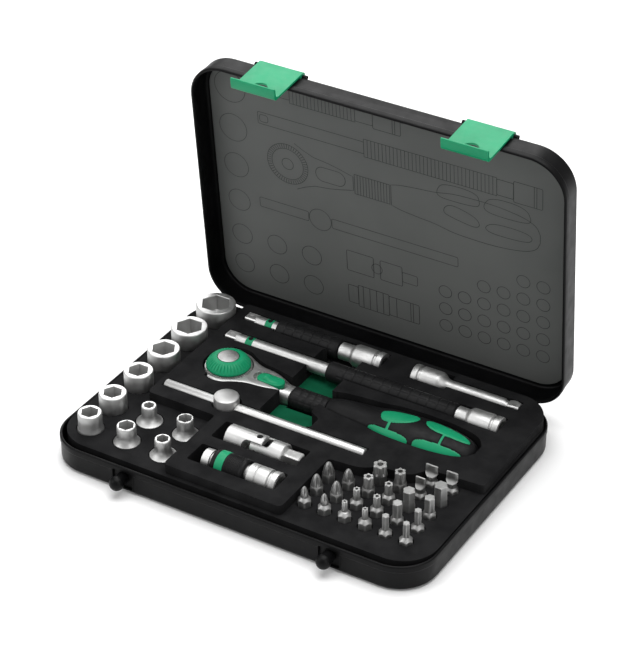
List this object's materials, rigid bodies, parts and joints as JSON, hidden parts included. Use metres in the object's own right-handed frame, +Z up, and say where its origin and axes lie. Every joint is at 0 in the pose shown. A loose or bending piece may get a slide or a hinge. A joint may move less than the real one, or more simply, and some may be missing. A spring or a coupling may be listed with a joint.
{
  "type": "socket wrench set in case",
  "caption": "Quarter-inch socket wrench set in a flat black steel case with a hinged lid, snap latches and a foam tray of removable tools.",
  "frame": {"origin": "centre of the base's underside", "axes": "+X to the right along the long front edge, +Y from the latches to the hinge, +Z up out of the base"},
  "size_m": [0.213, 0.1756, 0.17],
  "materials": {
    "black_paint": "satin black powder coat",
    "foam": "matt, fine-celled, with a green lower layer",
    "grey_panel": "matt grey with an engraved outline drawing",
    "green_plastic": "satin green",
    "black_plastic": "satin black with soft green zones",
    "black_steel": "matt black, knurled",
    "satin_chrome": "satin chrome",
    "grey_steel": "bead-blasted grey"
  },
  "bodies": {
    "base": {"base_shell": "black_paint", "hinge_pin": "grey_steel", "foam_tray": "foam"},
    "lid": {"lid_shell": "black_paint", "lid_panel": "grey_panel"},
    "latch_left": {"latch_left": "green_plastic"},
    "latch_right": {"latch_right": "green_plastic"},
    "ratchet": {"ratchet_fork": "satin_chrome", "ratchet_handle": "black_plastic"},
    "ratchet_head": {"ratchet_head": "satin_chrome"},
    "ratchet_dial": {"ratchet_dial": "green_plastic"},
    "ratchet_button": {"ratchet_button": "satin_chrome"},
    "ratchet_switch": {"ratchet_switch": "green_plastic"},
    "ratchet_sleeve": {"ratchet_sleeve": "black_steel"},
    "tbar": {"tbar_rod": "satin_chrome"},
    "tbar_head": {"tbar_head": "satin_chrome"},
    "long_extension": {"long_extension": "satin_chrome"},
    "long_extension_sleeve": {"long_extension_sleeve": "black_steel"},
    "short_extension": {"short_extension": "satin_chrome"},
    "short_extension_sleeve": {"short_extension_sleeve": "black_steel"},
    "wobble_extension": {"wobble_extension": "satin_chrome"},
    "joint_socket": {"joint_socket": "satin_chrome"},
    "joint_cross": {"joint_cross": "grey_steel"},
    "joint_drive": {"joint_drive": "satin_chrome"},
    "adapter": {"adapter_body": "satin_chrome"},
    "adapter_sleeve": {"adapter_sleeve": "black_plastic"},
    "bit_cross_11": {"bit_cross_11": "grey_steel"},
    "bit_cross_12": {"bit_cross_12": "grey_steel"},
    "bit_cross_13": {"bit_cross_13": "grey_steel"},
    "bit_cross_21": {"bit_cross_21": "grey_steel"},
    "bit_cross_22": {"bit_cross_22": "grey_steel"},
    "bit_cross_23": {"bit_cross_23": "grey_steel"},
    "bit_hex_51": {"bit_hex_51": "grey_steel"},
    "bit_hex_52": {"bit_hex_52": "grey_steel"},
    "bit_hex_53": {"bit_hex_53": "grey_steel"},
    "bit_hex_61": {"bit_hex_61": "grey_steel"},
    "bit_hex_62": {"bit_hex_62": "grey_steel"},
    "bit_hex_63": {"bit_hex_63": "grey_steel"},
    "bit_hex_64": {"bit_hex_64": "grey_steel"},
    "bit_lobe_31": {"bit_lobe_31": "grey_steel"},
    "bit_lobe_32": {"bit_lobe_32": "grey_steel"},
    "bit_lobe_33": {"bit_lobe_33": "grey_steel"},
    "bit_lobe_34": {"bit_lobe_34": "grey_steel"},
    "bit_lobe_41": {"bit_lobe_41": "grey_steel"},
    "bit_lobe_42": {"bit_lobe_42": "grey_steel"},
    "bit_lobe_43": {"bit_lobe_43": "grey_steel"},
    "bit_lobe_44": {"bit_lobe_44": "grey_steel"},
    "bit_slot_54": {"bit_slot_54": "grey_steel"},
    "bit_slot_55": {"bit_slot_55": "grey_steel"},
    "bit_slot_65": {"bit_slot_65": "grey_steel"},
    "socket_11_32": {"socket_11_32": "satin_chrome"},
    "socket_1_2": {"socket_1_2": "satin_chrome"},
    "socket_1_4": {"socket_1_4": "satin_chrome"},
    "socket_3_16": {"socket_3_16": "satin_chrome"},
    "socket_3_8": {"socket_3_8": "satin_chrome"},
    "socket_5_16": {"socket_5_16": "satin_chrome"},
    "socket_7_16": {"socket_7_16": "satin_chrome"},
    "socket_7_32": {"socket_7_32": "satin_chrome"},
    "socket_9_16": {"socket_9_16": "satin_chrome"},
    "socket_9_32": {"socket_9_32": "satin_chrome"}
  },
  "joints": [
    {"name": "lid_hinge", "type": "hinge", "parent": "base", "child": "lid", "pos_m": [0, 0.0761, 0.0128], "axis": [-1, 0, 0], "range_deg": [-84, 12]},
    {"name": "latch_left_hinge", "type": "hinge", "parent": "lid", "child": "latch_left", "pos_m": [-0.059, 0.0756, 0.16488], "axis": [-1, 0, 0], "range_deg": [0, 95]},
    {"name": "latch_right_hinge", "type": "hinge", "parent": "lid", "child": "latch_right", "pos_m": [0.059, 0.0756, 0.16488], "axis": [-1, 0, 0], "range_deg": [0, 95]},
    {"name": "ratchet_lift", "type": "slide", "parent": "base", "child": "ratchet", "axis": [0, 0, 1], "range_m": [0, 0.035]},
    {"name": "ratchet_head_tilt", "type": "hinge", "parent": "ratchet", "child": "ratchet_head", "pos_m": [-0.0578, 0.02, 0.0131], "axis": [0, 1, 0], "range_deg": [-5, 5]},
    {"name": "ratchet_dial_turn", "type": "hinge", "parent": "ratchet_head", "child": "ratchet_dial", "pos_m": [-0.0578, 0.02, 0.02], "axis": [0, 0, 1], "continuous": true},
    {"name": "ratchet_button_press", "type": "slide", "parent": "ratchet_head", "child": "ratchet_button", "axis": [0, 0, -1], "range_m": [0, 0.001], "stiffness_N_per_m": 600},
    {"name": "ratchet_switch_slide", "type": "slide", "parent": "ratchet", "child": "ratchet_switch", "axis": [1, 0, 0], "range_m": [-0.0015, 0.0015]},
    {"name": "ratchet_sleeve_turn", "type": "hinge", "parent": "ratchet", "child": "ratchet_sleeve", "pos_m": [0, 0.02, 0.0131], "axis": [1, 0, 0], "continuous": true},
    {"name": "tbar_lift", "type": "slide", "parent": "base", "child": "tbar", "axis": [0, 0, 1], "range_m": [0, 0.035]},
    {"name": "tbar_head_slide", "type": "slide", "parent": "tbar", "child": "tbar_head", "axis": [1, 0, 0], "range_m": [-0.0009, 0.0009]},
    {"name": "long_extension_lift", "type": "slide", "parent": "base", "child": "long_extension", "axis": [0, 0, 1], "range_m": [0, 0.035]},
    {"name": "long_sleeve_turn", "type": "hinge", "parent": "long_extension", "child": "long_extension_sleeve", "pos_m": [0, 0.0442, 0.0176], "axis": [1, 0, 0], "continuous": true},
    {"name": "short_extension_lift", "type": "slide", "parent": "base", "child": "short_extension", "axis": [0, 0, 1], "range_m": [0, 0.035]},
    {"name": "short_sleeve_turn", "type": "hinge", "parent": "short_extension", "child": "short_extension_sleeve", "pos_m": [0, 0.0638, 0.0176], "axis": [1, 0, 0], "continuous": true},
    {"name": "wobble_extension_lift", "type": "slide", "parent": "base", "child": "wobble_extension", "axis": [0, 0, 1], "range_m": [0, 0.035]},
    {"name": "universal_joint_lift", "type": "slide", "parent": "base", "child": "joint_socket", "axis": [0, 0, 1], "range_m": [0, 0.035]},
    {"name": "universal_joint_yaw", "type": "hinge", "parent": "joint_socket", "child": "joint_cross", "pos_m": [-0.007, -0.0305, 0.0178], "axis": [0, 0, 1], "range_deg": [-3, 3]},
    {"name": "universal_joint_pitch", "type": "hinge", "parent": "joint_cross", "child": "joint_drive", "pos_m": [-0.007, -0.0305, 0.0178], "axis": [0, -1, 0], "range_deg": [0, 40]},
    {"name": "adapter_lift", "type": "slide", "parent": "base", "child": "adapter", "axis": [0, 0, 1], "range_m": [0, 0.035]},
    {"name": "adapter_sleeve_slide", "type": "slide", "parent": "adapter", "child": "adapter_sleeve", "axis": [1, 0, 0], "range_m": [0, 0.0012], "stiffness_N_per_m": 800},
    {"name": "bit_cross_11_lift", "type": "slide", "parent": "base", "child": "bit_cross_11", "axis": [0, 0, 1], "range_m": [0, 0.035]},
    {"name": "bit_cross_12_lift", "type": "slide", "parent": "base", "child": "bit_cross_12", "axis": [0, 0, 1], "range_m": [0, 0.035]},
    {"name": "bit_cross_13_lift", "type": "slide", "parent": "base", "child": "bit_cross_13", "axis": [0, 0, 1], "range_m": [0, 0.035]},
    {"name": "bit_cross_21_lift", "type": "slide", "parent": "base", "child": "bit_cross_21", "axis": [0, 0, 1], "range_m": [0, 0.035]},
    {"name": "bit_cross_22_lift", "type": "slide", "parent": "base", "child": "bit_cross_22", "axis": [0, 0, 1], "range_m": [0, 0.035]},
    {"name": "bit_cross_23_lift", "type": "slide", "parent": "base", "child": "bit_cross_23", "axis": [0, 0, 1], "range_m": [0, 0.035]},
    {"name": "bit_hex_51_lift", "type": "slide", "parent": "base", "child": "bit_hex_51", "axis": [0, 0, 1], "range_m": [0, 0.035]},
    {"name": "bit_hex_52_lift", "type": "slide", "parent": "base", "child": "bit_hex_52", "axis": [0, 0, 1], "range_m": [0, 0.035]},
    {"name": "bit_hex_53_lift", "type": "slide", "parent": "base", "child": "bit_hex_53", "axis": [0, 0, 1], "range_m": [0, 0.035]},
    {"name": "bit_hex_61_lift", "type": "slide", "parent": "base", "child": "bit_hex_61", "axis": [0, 0, 1], "range_m": [0, 0.035]},
    {"name": "bit_hex_62_lift", "type": "slide", "parent": "base", "child": "bit_hex_62", "axis": [0, 0, 1], "range_m": [0, 0.035]},
    {"name": "bit_hex_63_lift", "type": "slide", "parent": "base", "child": "bit_hex_63", "axis": [0, 0, 1], "range_m": [0, 0.035]},
    {"name": "bit_hex_64_lift", "type": "slide", "parent": "base", "child": "bit_hex_64", "axis": [0, 0, 1], "range_m": [0, 0.035]},
    {"name": "bit_lobe_31_lift", "type": "slide", "parent": "base", "child": "bit_lobe_31", "axis": [0, 0, 1], "range_m": [0, 0.035]},
    {"name": "bit_lobe_32_lift", "type": "slide", "parent": "base", "child": "bit_lobe_32", "axis": [0, 0, 1], "range_m": [0, 0.035]},
    {"name": "bit_lobe_33_lift", "type": "slide", "parent": "base", "child": "bit_lobe_33", "axis": [0, 0, 1], "range_m": [0, 0.035]},
    {"name": "bit_lobe_34_lift", "type": "slide", "parent": "base", "child": "bit_lobe_34", "axis": [0, 0, 1], "range_m": [0, 0.035]},
    {"name": "bit_lobe_41_lift", "type": "slide", "parent": "base", "child": "bit_lobe_41", "axis": [0, 0, 1], "range_m": [0, 0.035]},
    {"name": "bit_lobe_42_lift", "type": "slide", "parent": "base", "child": "bit_lobe_42", "axis": [0, 0, 1], "range_m": [0, 0.035]},
    {"name": "bit_lobe_43_lift", "type": "slide", "parent": "base", "child": "bit_lobe_43", "axis": [0, 0, 1], "range_m": [0, 0.035]},
    {"name": "bit_lobe_44_lift", "type": "slide", "parent": "base", "child": "bit_lobe_44", "axis": [0, 0, 1], "range_m": [0, 0.035]},
    {"name": "bit_slot_54_lift", "type": "slide", "parent": "base", "child": "bit_slot_54", "axis": [0, 0, 1], "range_m": [0, 0.035]},
    {"name": "bit_slot_55_lift", "type": "slide", "parent": "base", "child": "bit_slot_55", "axis": [0, 0, 1], "range_m": [0, 0.035]},
    {"name": "bit_slot_65_lift", "type": "slide", "parent": "base", "child": "bit_slot_65", "axis": [0, 0, 1], "range_m": [0, 0.035]},
    {"name": "socket_11_32_lift", "type": "slide", "parent": "base", "child": "socket_11_32", "axis": [0, 0, 1], "range_m": [0, 0.035]},
    {"name": "socket_1_2_lift", "type": "slide", "parent": "base", "child": "socket_1_2", "axis": [0, 0, 1], "range_m": [0, 0.035]},
    {"name": "socket_1_4_lift", "type": "slide", "parent": "base", "child": "socket_1_4", "axis": [0, 0, 1], "range_m": [0, 0.035]},
    {"name": "socket_3_16_lift", "type": "slide", "parent": "base", "child": "socket_3_16", "axis": [0, 0, 1], "range_m": [0, 0.035]},
    {"name": "socket_3_8_lift", "type": "slide", "parent": "base", "child": "socket_3_8", "axis": [0, 0, 1], "range_m": [0, 0.035]},
    {"name": "socket_5_16_lift", "type": "slide", "parent": "base", "child": "socket_5_16", "axis": [0, 0, 1], "range_m": [0, 0.035]},
    {"name": "socket_7_16_lift", "type": "slide", "parent": "base", "child": "socket_7_16", "axis": [0, 0, 1], "range_m": [0, 0.035]},
    {"name": "socket_7_32_lift", "type": "slide", "parent": "base", "child": "socket_7_32", "axis": [0, 0, 1], "range_m": [0, 0.035]},
    {"name": "socket_9_16_lift", "type": "slide", "parent": "base", "child": "socket_9_16", "axis": [0, 0, 1], "range_m": [0, 0.035]},
    {"name": "socket_9_32_lift", "type": "slide", "parent": "base", "child": "socket_9_32", "axis": [0, 0, 1], "range_m": [0, 0.035]}
  ]
}
